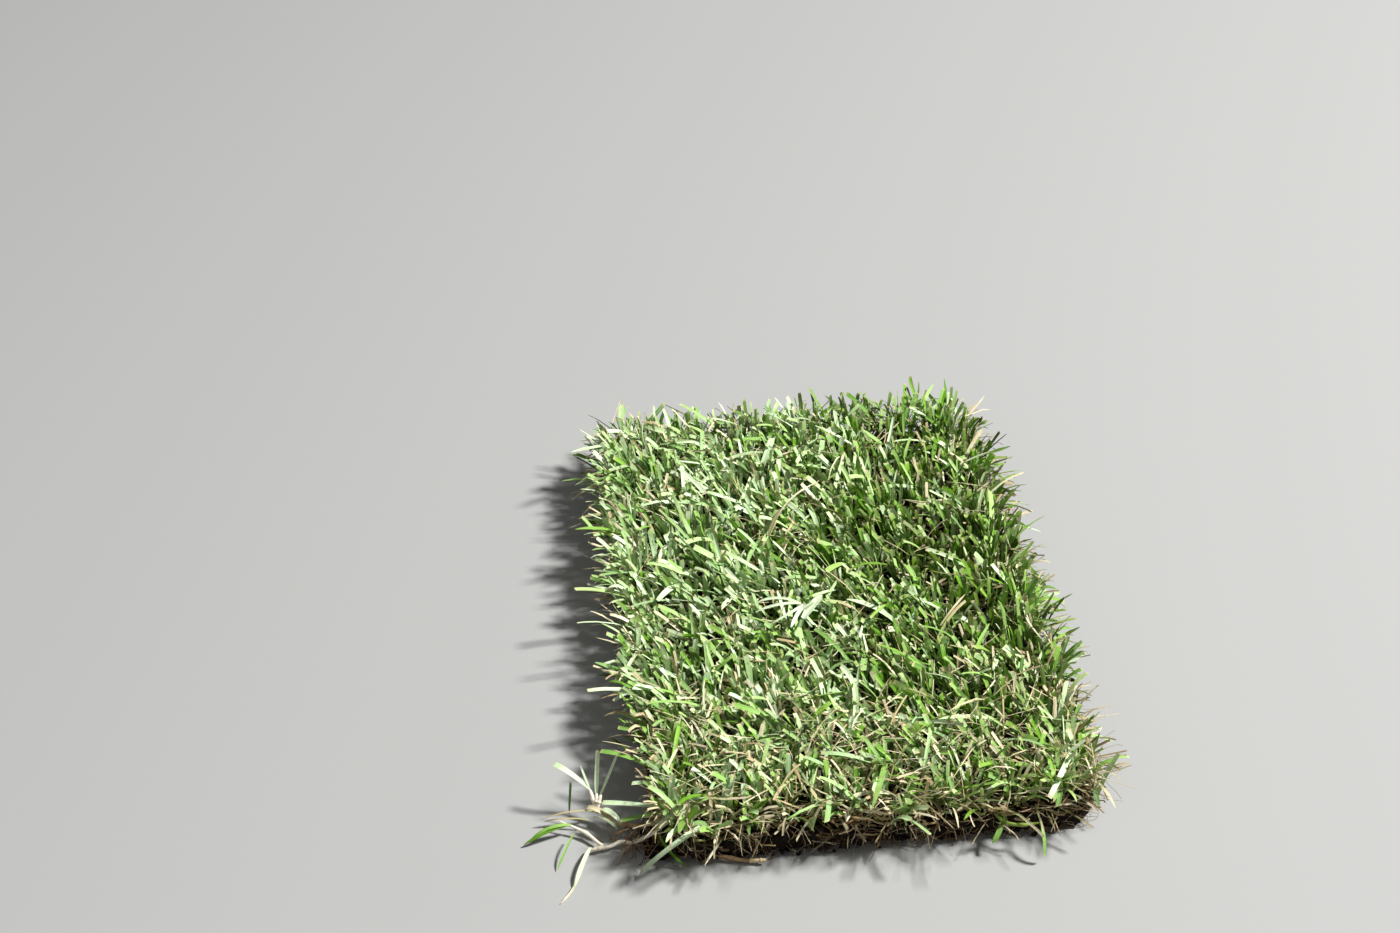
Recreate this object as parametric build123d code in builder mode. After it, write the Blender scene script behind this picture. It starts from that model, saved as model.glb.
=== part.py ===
"""A slab of living turf, as cut from the field and laid flat, in millimetres.

The slab lies on its cut underside with +Z up. X runs across the slab and Y along it.
The origin is the middle of the underside.

From the bottom up it holds
  soil_pad        the slice of root-bound soil that the turf cutter lifts
  thatch_mat      the mat of runners and dead sheaths that grows on the soil, with the cut
                  runner ends that point out of its sides
  leaf_canopy     the dense lower leaves, as one closed mass that flares out over the edges
  leaf_blades     the mown leaves that stand proud of it, one keeled solid for each leaf
  corner_runner   a loose runner with a tuft, which trails on the ground at one corner
  front_runner    a green runner that hangs out of the mat's front edge
"""

import os
from math import cos, pi, radians, sin
from random import Random

from build123d import *

# The cut slab, without the leaves that hang over its edges
SLAB_WIDTH = 406.0
SLAB_LENGTH = 610.0
CORNER_RADIUS = 16.0
SOIL_THICKNESS = 24.0
THATCH_THICKNESS = 10.0
CANOPY_THICKNESS = 16.0

# How far each layer stands out past the straight cut, or stays back from it
SOIL_FOOT_INSET = 4.0
SOIL_BELLY_INSET = 0.5
SOIL_BELLY_HEIGHT = 13.0
SOIL_TOP_INSET = 2.5
THATCH_OVERHANG = 2.0
CANOPY_FOOT_OVERHANG = 3.0
CANOPY_TOP_OVERHANG = 11.0

# How the torn edge wanders in and out of the straight cut
EDGE_STEP = 13.0
SOIL_WANDER = 2.4
SOIL_BELLY_WANDER = 3.2
THATCH_WANDER = 3.5
CANOPY_WANDER = 4.5
SOIL_PHASE = 0.4
THATCH_PHASE = 2.2
CANOPY_PHASE = 3.3

# The waves of that wander: the length of each, its share and how far the phase shifts it
EDGE_WAVES = ((171.0, 0.50, 1.0), (67.0, 0.32, 2.3), (29.0, 0.18, 4.1))

# Mown leaves: keeled blades with a blunt cut tip, on a loosened grid
BLADE_PITCH = 24.0
BLADE_JITTER = 4.0
BLADE_RIM_MARGIN = 13.0
BLADE_WIDTH = 7.5
BLADE_WIDTH_SPREAD = 2.0
BLADE_KEEL = 1.7
BLADE_RISE = 27.0
BLADE_RISE_SPREAD = 8.0
BLADE_BOW = 1.6
BLADE_SEED = 4

# The nap: where the leaves lean inside the slab, and how they fall outwards at its rim
NAP_REACH = 15.0
NAP_HEADING = 165.0
NAP_SWING = 35.0
NAP_WAVE = 240.0
HEADING_SPREAD = 14.0
FRINGE_REACH = 20.0
FRINGE_DEPTH = 30.0

# Runners: the creeping stems and their cut ends round the mat
RUNNER_RADIUS = 1.7
RUNNER_END_PITCH = 84.0
RUNNER_END_LENGTH = 10.0
RUNNER_END_SPREAD = 4.0
RUNNER_END_ROOT = 14.0
RUNNER_END_SWING = 28.0
RUNNER_END_TILT = 0.12
RUNNER_SEED = 7

# The two runners that trail out of the slab, and how far from their corners they leave it
CORNER_RUNNER_SETBACK = 16.0
FRONT_RUNNER_SETBACK = 85.0
TRAIL_RADIUS = 2.0
TRAIL_KNOT_RADIUS = 3.4
TRAIL_BEND_RADIUS = 9.0
TRAIL_SEAT_GAP = 0.3
TRAIL_LEAF_WIDTH = 7.0

# Where a leaf's straight runs meet, as shares of its rise
LEAF_SHARES = (0.0, 0.5, 1.0)

CANOPY_FLOOR = SOIL_THICKNESS + THATCH_THICKNESS
BLADE_FLOOR = CANOPY_FLOOR + CANOPY_THICKNESS
RUNNER_HEIGHT = SOIL_THICKNESS + THATCH_THICKNESS / 2

os.makedirs("parts", exist_ok=True)


def keep(part, name):
    """Labels a finished piece and writes its STEP file."""
    part.label = name
    export_step(part, f"parts/{name}.step")


def wave(distance, phase):
    """A smooth wander between about -1 and 1, from waves of unlike length."""
    return sum(share * sin(2 * pi * distance / length + shift * phase) for length, share, shift in EDGE_WAVES)


def flat_direction(heading):
    """The level unit vector at an angle in degrees, anticlockwise from +X."""
    return Vector(cos(radians(heading)), sin(radians(heading)), 0)


def rim_length():
    """The length all round the slab's rounded rectangle."""
    return 2 * (SLAB_WIDTH + SLAB_LENGTH - 4 * CORNER_RADIUS) + 2 * pi * CORNER_RADIUS


def rim_point(distance, offset):
    """A place on the slab's rounded rectangle, moved outwards by offset, and its outward heading.

    distance runs anticlockwise, from the start of the front right corner's arc.
    """
    half_x = SLAB_WIDTH / 2 - CORNER_RADIUS
    half_y = SLAB_LENGTH / 2 - CORNER_RADIUS
    arc = CORNER_RADIUS * pi / 2
    sides = (
        (half_x, -half_y, 2 * half_y),
        (half_x, half_y, 2 * half_x),
        (-half_x, half_y, 2 * half_y),
        (-half_x, -half_y, 2 * half_x),
    )
    distance %= rim_length()
    for side, (centre_x, centre_y, straight) in enumerate(sides):
        if distance <= arc + straight:
            break
        distance -= arc + straight
    turned = min(distance, arc)
    heading = 90 * (side - 1) + 90 * turned / arc
    out = flat_direction(heading)
    along = flat_direction(heading + 90)
    centre = Vector(centre_x, centre_y, 0)
    return centre + out * (CORNER_RADIUS + offset) + along * (distance - turned), heading


def torn_outline(offset, wander, phase):
    """The points of one ragged outline, offset outwards from the straight cut."""
    count = round(rim_length() / EDGE_STEP)
    distances = [index * rim_length() / count for index in range(count)]
    places = [rim_point(each, offset + wander * wave(each, phase))[0] for each in distances]
    return [(place.X, place.Y) for place in places]


def layer(phase, *levels):
    """A closed layer through ragged outlines, each with its height, offset and wander."""
    with BuildPart() as solid:
        for height, offset, wander in levels:
            with BuildSketch(Plane.XY.offset(height)):
                with BuildLine():
                    Polyline(*torn_outline(offset, wander, phase), close=True)
                make_face()
        loft(ruled=True)
    return solid.part


def build_soil_pad():
    """The slice of root-bound soil, undercut at its foot and crumbled back at its top."""
    return layer(
        SOIL_PHASE,
        (0.0, -SOIL_FOOT_INSET, SOIL_WANDER),
        (SOIL_BELLY_HEIGHT, -SOIL_BELLY_INSET, SOIL_BELLY_WANDER),
        (SOIL_THICKNESS, -SOIL_TOP_INSET, SOIL_WANDER),
    )


def runner_plane(distance, swing, tilt):
    """The plane across a runner where it leaves the mat, with its normal pointing out."""
    root, heading = rim_point(distance, -RUNNER_END_ROOT)
    out = flat_direction(heading + swing) + Vector(0, 0, tilt)
    return Plane(origin=(root.X, root.Y, RUNNER_HEIGHT), z_dir=out)


def corner_runner_plane():
    """Where the corner runner leaves the mat: the left side, close to the front corner."""
    front_edge = SLAB_WIDTH - 2 * CORNER_RADIUS
    front_left_arc = CORNER_RADIUS * pi / 2
    return runner_plane(rim_length() - front_edge - front_left_arc - CORNER_RUNNER_SETBACK, 0, 0)


def front_runner_plane():
    """Where the front runner leaves the mat: the front edge, towards the right corner."""
    return runner_plane(rim_length() - FRONT_RUNNER_SETBACK, 0, 0)


def runner_end(plane, length):
    """A cut runner end, from inside the mat to length past its rim."""
    with BuildPart() as end:
        with BuildSketch(plane):
            RegularPolygon(RUNNER_RADIUS, 6)
        extrude(amount=RUNNER_END_ROOT + length)
    return end.part


def build_thatch_mat():
    """The mat of runners, with its cut runner ends pointing out all round."""
    mat = layer(
        THATCH_PHASE,
        (SOIL_THICKNESS, 0.0, THATCH_WANDER),
        (RUNNER_HEIGHT, THATCH_OVERHANG, THATCH_WANDER),
        (CANOPY_FLOOR, 0.0, THATCH_WANDER),
    )
    count = round(rim_length() / RUNNER_END_PITCH)
    draw = Random(RUNNER_SEED)
    with BuildPart() as thatch:
        add(mat)
        for index in range(count):
            swing = draw.uniform(-1, 1) * RUNNER_END_SWING
            tilt = draw.uniform(-1, 1) * RUNNER_END_TILT
            plane = runner_plane((index + 0.5) * rim_length() / count, swing, tilt)
            add(runner_end(plane, RUNNER_END_LENGTH + draw.uniform(-1, 1) * RUNNER_END_SPREAD))
        add(runner_end(corner_runner_plane(), RUNNER_END_LENGTH))
        add(runner_end(front_runner_plane(), RUNNER_END_LENGTH))
    return thatch.part


def build_leaf_canopy():
    """The dense lower leaves, flaring out over the mat's edge."""
    return layer(
        CANOPY_PHASE,
        (CANOPY_FLOOR, CANOPY_FOOT_OVERHANG, CANOPY_WANDER),
        (BLADE_FLOOR, CANOPY_TOP_OVERHANG, CANOPY_WANDER),
    )


def keeled_leaf(root, facing, heading, rise, reach, width):
    """One strap-like leaf, from its root to its blunt mown tip.

    It bows over towards heading in runs that lean further and further. Its section is a
    shallow keel, which faces the same way all along.
    """
    out = flat_direction(heading)
    places = [root + out * (reach * share**BLADE_BOW) + Vector(0, 0, rise * share) for share in LEAF_SHARES]
    with BuildPart() as leaf:
        for place, following in zip(places, places[1:]):
            run = following - place
            with BuildSketch(Plane(origin=place, x_dir=flat_direction(heading + 90), z_dir=facing)):
                with BuildLine():
                    Polyline((-width / 2, 0), (0, -BLADE_KEEL), (width / 2, 0), close=True)
                make_face()
            extrude(amount=run.length, dir=run)
    return leaf.part


def lean_at(x, y):
    """The way a leaf leans and how far: along the nap inside the slab, and outwards at its rim."""
    to_side = SLAB_WIDTH / 2 + CANOPY_TOP_OVERHANG - abs(x)
    to_end = SLAB_LENGTH / 2 + CANOPY_TOP_OVERHANG - abs(y)
    side_share = max(0.0, 1 - to_side / FRINGE_DEPTH)
    end_share = max(0.0, 1 - to_end / FRINGE_DEPTH)
    nap_share = max(0.0, 1 - side_share - end_share)
    nap = flat_direction(NAP_HEADING + NAP_SWING * sin(2 * pi * (y - x / 2) / NAP_WAVE))
    outwards = Vector(side_share if x > 0 else -side_share, end_share if y > 0 else -end_share, 0)
    lean = nap * (NAP_REACH * nap_share) + outwards * FRINGE_REACH
    return Vector(1, 0, 0).get_signed_angle(lean, Vector(0, 0, 1)), lean.length


def build_leaf_blades():
    """The mown leaves, on a loosened grid that keeps them clear of each other."""
    draw = Random(BLADE_SEED)
    half_x = SLAB_WIDTH / 2 + CANOPY_TOP_OVERHANG - BLADE_RIM_MARGIN
    half_y = SLAB_LENGTH / 2 + CANOPY_TOP_OVERHANG - BLADE_RIM_MARGIN
    columns = int(2 * half_x / BLADE_PITCH)
    rows = int(2 * half_y / BLADE_PITCH)
    leaves = []
    for row in range(rows + 1):
        for column in range(columns + 1):
            x = half_x * (2 * column / columns - 1) + draw.uniform(-1, 1) * BLADE_JITTER
            y = half_y * (2 * row / rows - 1) + draw.uniform(-1, 1) * BLADE_JITTER
            x = max(-half_x, min(half_x, x))
            y = max(-half_y, min(half_y, y))
            heading, reach = lean_at(x, y)
            heading += draw.uniform(-1, 1) * HEADING_SPREAD
            rise = BLADE_RISE - draw.random() * BLADE_RISE_SPREAD
            width = BLADE_WIDTH - draw.random() * BLADE_WIDTH_SPREAD
            root = Vector(x, y, BLADE_FLOOR)
            leaves.append(keeled_leaf(root, Vector(0, 0, 1), heading, rise, reach, width))
    return Compound(children=leaves)


def trailing_runner(plane, steps, leaves):
    """A runner that goes on from its cut end in the mat, with a knot and leaves at its far end.

    steps are the moves from point to point, along the runner, to its left and upwards.
    Each leaf has its heading off the runner's, its rise and its reach.
    """
    out = plane.z_dir
    left = Vector(-out.Y, out.X, 0)
    points = [plane.origin + out * (RUNNER_END_ROOT + RUNNER_END_LENGTH + TRAIL_SEAT_GAP)]
    for forward, sideways, upward in steps:
        points.append(points[-1] + out * forward + left * sideways + Vector(0, 0, upward))
    knot = points[-1]
    runner_heading = Vector(1, 0, 0).get_signed_angle(out, Vector(0, 0, 1))
    with BuildPart() as runner:
        with BuildLine() as route:
            FilletPolyline(*points, radius=TRAIL_BEND_RADIUS)
        with BuildSketch(Plane(origin=route.line @ 0, z_dir=route.line % 0)):
            RegularPolygon(TRAIL_RADIUS, 8)
        sweep()
        with BuildSketch(Plane(origin=knot, z_dir=route.line % 1)):
            RegularPolygon(TRAIL_KNOT_RADIUS, 8)
        extrude(amount=TRAIL_KNOT_RADIUS, both=True)
        for turn, rise, reach in leaves:
            heading = runner_heading + turn
            facing = flat_direction(heading) * reach + Vector(0, 0, rise)
            add(keeled_leaf(knot, facing, heading, rise, reach, TRAIL_LEAF_WIDTH))
    return runner.part


def build_corner_runner():
    """The runner that trails off the front left corner, with its tuft of leaves."""
    return trailing_runner(
        corner_runner_plane(),
        ((9, 0, 0), (10, -6, -13), (10, -11, -8)),
        ((-95, 48, 12), (-20, 40, 24), (60, 5, 52), (110, 32, 20), (-60, 14, 34), (15, 3, 62)),
    )


def build_front_runner():
    """The green runner that hangs out of the mat's front edge, with its few leaves."""
    return trailing_runner(
        front_runner_plane(),
        ((9, 0, 0), (9, 12, 2), (3, 16, -3)),
        ((60, -16, 20), (140, 24, 12)),
    )


PIECES = {
    "soil_pad": build_soil_pad,
    "thatch_mat": build_thatch_mat,
    "leaf_canopy": build_leaf_canopy,
    "leaf_blades": build_leaf_blades,
    "corner_runner": build_corner_runner,
    "front_runner": build_front_runner,
}

for name, build in PIECES.items():
    keep(build(), name)
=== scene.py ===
"""A slab of coarse living turf: soil, roots, runners and mown leaves, laid flat on a pale floor.

Each group of like pieces has one operator. All shapes are numpy arrays of rings or grids, in
metres, in the frame's own axes: +Z up, the slab's long side along Y, the viewer's end at -Y.
The leaves and stalks that are placed one by one stand in tables, in millimetres.
"""

from math import cos, pi, radians, sin

import bpy
import numpy as np
from bpy.props import FloatProperty, FloatVectorProperty, IntProperty, PointerProperty
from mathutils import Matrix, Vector


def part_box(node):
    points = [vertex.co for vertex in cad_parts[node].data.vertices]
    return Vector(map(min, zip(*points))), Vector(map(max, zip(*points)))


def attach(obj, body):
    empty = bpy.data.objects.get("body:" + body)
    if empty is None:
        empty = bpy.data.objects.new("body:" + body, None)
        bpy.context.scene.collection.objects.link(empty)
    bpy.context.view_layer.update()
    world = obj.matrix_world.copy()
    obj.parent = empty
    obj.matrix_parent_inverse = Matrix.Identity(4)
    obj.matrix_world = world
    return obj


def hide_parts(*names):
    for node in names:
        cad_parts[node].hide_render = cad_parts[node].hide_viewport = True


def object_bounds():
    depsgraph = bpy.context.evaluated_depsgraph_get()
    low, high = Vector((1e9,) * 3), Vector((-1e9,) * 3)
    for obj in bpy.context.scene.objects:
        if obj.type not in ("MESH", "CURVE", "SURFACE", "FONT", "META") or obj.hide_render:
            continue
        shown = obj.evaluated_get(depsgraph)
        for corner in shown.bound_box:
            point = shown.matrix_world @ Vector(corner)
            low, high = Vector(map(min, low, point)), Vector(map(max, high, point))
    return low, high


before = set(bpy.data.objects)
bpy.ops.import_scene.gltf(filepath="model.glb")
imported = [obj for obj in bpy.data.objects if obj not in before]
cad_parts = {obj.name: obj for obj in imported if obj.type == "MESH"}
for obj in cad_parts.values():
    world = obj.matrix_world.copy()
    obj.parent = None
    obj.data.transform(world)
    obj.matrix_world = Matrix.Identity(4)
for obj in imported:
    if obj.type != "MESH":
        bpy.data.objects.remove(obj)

bl_info = {
    "name": "Turf Slab",
    "version": (1, 0, 0),
    "blender": (4, 5, 0),
    "location": "View3D > Sidebar > Turf",
    "description": "Grows a slab of mown turf with its soil, roots, runners and leaves",
    "category": "Add Mesh",
}

CAD_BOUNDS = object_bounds()

# The frame's own sizes that every piece is fitted to, less what the soil's lumps stand out
SOIL_LOW, SOIL_HIGH = (np.array(corner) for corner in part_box("soil_pad"))
SOIL_LUMPS = 0.003
SLAB_HALF = (SOIL_HIGH[:2] - SOIL_LOW[:2]) / 2 - SOIL_LUMPS
SOIL_TOP = float(SOIL_HIGH[2])
MAT_TOP = float(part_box("thatch_mat")[1][2])
LEAF_TOP = float(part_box("leaf_blades")[1][2])

# How far the grown leaves may reach past the frame's own box
REACH_LOW = np.array(CAD_BOUNDS[0]) - (0.022, 0.026, 0.0)
REACH_HIGH = np.array(CAD_BOUNDS[1]) + (0.022, 0.026, 0.009)

# The room of the corner tuft, which no grown leaf enters
TUFT_LOW = np.array((-0.40, -0.300, 0.0))
TUFT_HIGH = np.array((-0.222, -0.210, 0.1))

# The photograph's frame, and the view that its vanishing points give
PHOTO_WIDTH = 1400
PHOTO_FOCAL = 2300
SENSOR = 36.0
VIEW_PITCH = radians(36.0)
VIEW_HEADING = radians(7.0)
VIEW_BACK = 1.804
VIEW_LEFT = 0.130
VIEW_HEIGHT = 1.52
VIEW_REACH = 60

# The slab's outline is a superellipse of this power, walked in this many steps
RIM_POWER = 16
RIM_STEPS = 8001

# A leaf's thickness either side of its middle: a fixed part, and a share of half its width
LEAF_SKIN = 0.00022
LEAF_SKIN_SHARE = 0.02

# Where a leaf's sections stand, as shares of its length
LEAF_STATIONS = np.array((0.0, 0.24, 0.50, 0.74, 0.91, 1.0))
SHORT_STATIONS = np.array((0.0, 0.35, 0.80, 1.0))

# The torn corner where crumbs have heaped up: its middle, their spread and their share of all
TORN_CORNER = (-0.206, -0.284)
TORN_SPREAD = (0.005, 0.009)
TORN_SHARE = 0.08

# Seeds of the pieces that no setting redraws
THATCH_SEED = 71
CORNER_SEED = 501
SHOOT_SEED = 502
STRAY_SEED = 503

# The lamps' places and sizes, and how far the floor reaches
KEY_PLACE, KEY_SIZE = (5.5, -0.40, 7.1), 1.15
FILL_PLACE, FILL_SIZE = (-1.3, -1.2, 1.5), 1.6
FLOOR_REACH = 14.0


# Numbers that look random but are the same each run

def draws(seed):
    """A source of random numbers for one piece."""
    return np.random.default_rng(seed)


def lattice_value(cell, seed):
    """A value from -1 to 1 for each whole-number place, from mixing the bits of its coordinates."""
    mixed = cell[..., 0] * 73856093 ^ cell[..., 1] * 19349663 ^ cell[..., 2] * 83492791 ^ seed * 2654435761
    mixed = (mixed ^ (mixed >> 13)) * 1274126177 & 0xFFFFFFFF
    mixed = (mixed ^ (mixed >> 16)) * 2246822519 & 0xFFFFFFFF
    return (mixed & 0xFFFFFF) / 0x7FFFFF - 1.0


def cloud(places, size, seed):
    """Smooth noise from -1 to 1: lattice values a given size apart, blended between by 3t^2 - 2t^3."""
    scaled = np.asarray(places, dtype=float) / size
    cell = np.floor(scaled).astype(np.int64)
    share = scaled - cell
    share = share * share * (3 - 2 * share)
    total = np.zeros(scaled.shape[:-1])
    for corner in np.ndindex(2, 2, 2):
        step = np.array(corner)
        weight = np.prod(np.where(step == 1, share, 1 - share), axis=-1)
        total += weight * lattice_value(cell + step, seed)
    return total


def raised(plan, height=0.0):
    """Places in space: those of a plan, at one height or at a height each."""
    return np.concatenate((plan, np.broadcast_to(height, len(plan))[:, None]), axis=1)


def patches(plan, size, seed):
    """Noise in plan only."""
    return cloud(raised(plan), size, seed)


def unit(vectors):
    """Vectors scaled to length one."""
    return vectors / np.maximum(np.linalg.norm(vectors, axis=-1, keepdims=True), 1e-12)


def heading_vector(heading, rise=0.0):
    """The way that a heading and a rise point, in radians."""
    rise = np.broadcast_to(rise, np.shape(heading))
    return np.stack((np.cos(rise) * np.cos(heading), np.cos(rise) * np.sin(heading), np.sin(rise)), axis=-1)


def bearing(way):
    """The heading, in plan, of a way that points somewhere."""
    return np.arctan2(way[:, 1], way[:, 0])


# Meshes from arrays

def place(name, data, location=(0, 0, 0), aim=None):
    """An object of a mesh, lamp or lens, which looks along the aim if it is given one."""
    thing = bpy.data.objects.new(name, data)
    thing.location = location
    if aim:
        thing.rotation_euler = aim.to_track_quat("-Z", "Y").to_euler()
    bpy.context.collection.objects.link(thing)
    return thing


def fill_mesh(name, vertices, corners, sizes, sharp=None, notes=None):
    """An object from its vertices, its faces' corners in one row, and how many corners each has.

    sharp is a function of the edges' vertex pairs that says which stay sharp. notes are
    attributes of three numbers for each vertex.
    """
    mesh = bpy.data.meshes.new(name)
    mesh.vertices.add(len(vertices))
    mesh.vertices.foreach_set("co", np.ascontiguousarray(vertices, dtype=np.float32).ravel())
    mesh.loops.add(len(corners))
    mesh.loops.foreach_set("vertex_index", np.ascontiguousarray(corners, dtype=np.int32))
    mesh.polygons.add(len(sizes))
    starts = np.concatenate(([0], np.cumsum(sizes)[:-1]))
    mesh.polygons.foreach_set("loop_start", starts.astype(np.int32))
    mesh.polygons.foreach_set("use_smooth", np.ones(len(sizes), dtype=bool))
    mesh.update(calc_edges=True)
    if sharp is not None:
        pairs = np.empty(len(mesh.edges) * 2, dtype=np.int32)
        mesh.edges.foreach_get("vertices", pairs)
        mesh.edges.foreach_set("use_edge_sharp", sharp(pairs.reshape(-1, 2)))
    for label, values in (notes or {}).items():
        note = mesh.attributes.new(label, "FLOAT_VECTOR", "POINT")
        note.data.foreach_set("vector", np.ascontiguousarray(values, dtype=np.float32).ravel())
    return place(name, mesh)


def loft_rings(name, rings, creased=True, notes=None):
    """Many closed shells, each lofted through its own rings and capped at both ends.

    rings has the shape (shells, rings, points, 3), and each ring runs anticlockwise as seen
    from the shell's far end. Creased shells keep their lengthwise edges sharp.
    """
    shells, count, points = rings.shape[:3]
    index = np.arange(shells * count * points).reshape(shells, count, points)
    following = np.roll(index, -1, axis=2)
    sides = np.stack((index[:, :-1], following[:, :-1], following[:, 1:], index[:, 1:]), axis=-1)
    caps = np.concatenate((index[:, 0, ::-1], index[:, -1, :]))
    corners = np.concatenate((sides.ravel(), caps.ravel()))
    sizes = np.concatenate((np.full(sides.size // 4, 4), np.full(len(caps), points)))

    def sharp(pairs):
        station = pairs // points
        lengthwise = station[:, 0] != station[:, 1]
        end = np.isin(station[:, 0] % count, (0, count - 1)) & ~lengthwise
        return (lengthwise if creased else np.zeros_like(lengthwise)) | end

    notes = notes or {}
    flat = {label: np.broadcast_to(values, rings.shape).reshape(-1, 3) for label, values in notes.items()}
    return fill_mesh(name, rings.reshape(-1, 3), corners, sizes, sharp, flat)


def wrap_grid(name, grid):
    """One closed shell from a grid whose rows run round it, closed at each end by one point.

    grid has the shape (rows, around, 3). Its first and last rows have shrunk to a point each.
    """
    rows, around = grid.shape[:2]
    middle = grid[1:-1].reshape(-1, 3)
    vertices = np.concatenate((grid[:1, 0], middle, grid[-1:, 0]))
    index = 1 + np.arange((rows - 2) * around).reshape(rows - 2, around)
    following = np.roll(index, -1, axis=1)
    quads = np.stack((index[:-1], following[:-1], following[1:], index[1:]), axis=-1)
    last = len(vertices) - 1
    low = np.stack((np.zeros(around, dtype=int), following[0], index[0]), axis=-1)
    high = np.stack((np.full(around, last), index[-1], following[-1]), axis=-1)
    corners = np.concatenate((quads.ravel(), low.ravel(), high.ravel()))
    sizes = np.concatenate((np.full(quads.size // 4, 4), np.full(2 * around, 3)))
    return fill_mesh(name, vertices, corners, sizes)


def leaf_rings(paths, across, widths, shape, fold, twist, slant):
    """Rings of four points for keeled leaves along their centre lines.

    At each station the section has a left and a right edge, half a width out and raised by the
    fold, and a middle with half the thickness above and below. The section is turned about the
    leaf's own direction by the twist. The last ring is slanted, as a mower's cut is.
    """
    aims = unit(np.gradient(paths, axis=1))
    side = across[:, None] - np.sum(across[:, None] * aims, axis=-1, keepdims=True) * aims
    side = unit(side)
    face = np.cross(aims, side)
    turn = twist[..., None]
    side, face = side * np.cos(turn) + face * np.sin(turn), face * np.cos(turn) - side * np.sin(turn)
    half = (widths[:, None] * shape / 2)[..., None]
    reach = side * half * np.cos(fold)[..., None]
    rise = face * half * np.sin(fold)[..., None]
    skin = face * (LEAF_SKIN + LEAF_SKIN_SHARE * half)
    left, right = paths + reach + rise, paths - reach + rise
    cut = aims[:, -1] * (slant * widths)[:, None]
    left[:, -1] += cut
    right[:, -1] -= cut
    return np.stack((left, paths + skin, right, paths - skin), axis=2)


def tube_rings(paths, radii, points):
    """Rings for tubes along paths: at each station a circle across the path's own direction."""
    aim = unit(np.gradient(paths, axis=1))
    level = np.stack((-aim[..., 1], aim[..., 0], np.full(aim.shape[:-1], 1e-6)), axis=-1)
    side = unit(level - np.sum(level * aim, axis=-1, keepdims=True) * aim)
    up = np.cross(aim, side)
    turn = np.arange(points) * 2 * pi / points
    circle = side[:, :, None] * np.cos(turn)[:, None] + up[:, :, None] * np.sin(turn)[:, None]
    return paths[:, :, None] + circle * radii[:, :, None, None]


# Where things are on the slab

def slab_rim(distance, offset):
    """A place on the slab's rounded rectangle and the way out of it there, in plan.

    distance goes from 0 to 1 once round, anticlockwise from the middle of the right side.
    The rim is a superellipse of power sixteen, x = a |cos t|^(1/8) and y = b |sin t|^(1/8),
    walked at an even pace.
    """
    t = np.linspace(0, 2 * pi, RIM_STEPS)
    x = SLAB_HALF[0] * np.sign(np.cos(t)) * np.abs(np.cos(t)) ** (2 / RIM_POWER)
    y = SLAB_HALF[1] * np.sign(np.sin(t)) * np.abs(np.sin(t)) ** (2 / RIM_POWER)
    walked = np.concatenate(([0], np.cumsum(np.hypot(np.diff(x), np.diff(y)))))
    wanted = (np.asarray(distance) % 1) * walked[-1]
    px, py = np.interp(wanted, walked, x), np.interp(wanted, walked, y)
    nx = np.sign(px) * np.abs(px / SLAB_HALF[0]) ** (RIM_POWER - 1) / SLAB_HALF[0]
    ny = np.sign(py) * np.abs(py / SLAB_HALF[1]) ** (RIM_POWER - 1) / SLAB_HALF[1]
    out = unit(np.stack((nx, ny), axis=-1))
    return np.stack((px, py), axis=-1) + out * np.asarray(offset)[..., None], out


def outward(plan, depth):
    """The way out at each place: the sum of the two sides' pulls, each growing near its side."""
    pull = np.clip(1 - (SLAB_HALF - np.abs(plan)) / depth, 0, 1.2) ** 1.5
    return raised(np.sign(plan) * pull)


def spread_plan(pitch, rng, stray=0.5, grow=0.0):
    """Places all over the slab: a grid of the given pitch with each place strayed at random."""
    half = SLAB_HALF + grow
    columns, rows = (int(round(2 * size / pitch)) for size in half)
    x, y = np.meshgrid((np.arange(columns) + 0.5) / columns, (np.arange(rows) + 0.5) / rows)
    plan = np.stack((x.ravel(), y.ravel()), axis=-1) * 2 * half - half
    return plan + rng.uniform(-stray, stray, plan.shape) * pitch


# Materials

class Wire:
    """A number in a material. Arithmetic on it adds Math nodes to the same material."""

    def __init__(self, finish, socket):
        self.finish = finish
        self.socket = socket

    def maths(self, operation, *values):
        return self.finish.node("ShaderNodeMath", {"operation": operation}, dict(enumerate(values)))

    def __add__(self, other):
        return self.maths("ADD", self, other)

    def __sub__(self, other):
        return self.maths("SUBTRACT", self, other)

    def __rsub__(self, other):
        return self.maths("SUBTRACT", other, self)

    def __mul__(self, other):
        return self.maths("MULTIPLY", self, other)

    __radd__ = __add__

    def clip(self):
        return self.finish.node("ShaderNodeClamp", {}, {"Value": self})

    def ramp(self, low, high):
        """0 at low and below, 1 at high and above, smooth between."""
        settings = {"interpolation_type": "SMOOTHSTEP"}
        inputs = {"Value": self, 1: low, 2: high, 3: 0.0, 4: 1.0}
        return self.finish.node("ShaderNodeMapRange", settings, inputs)


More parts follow.
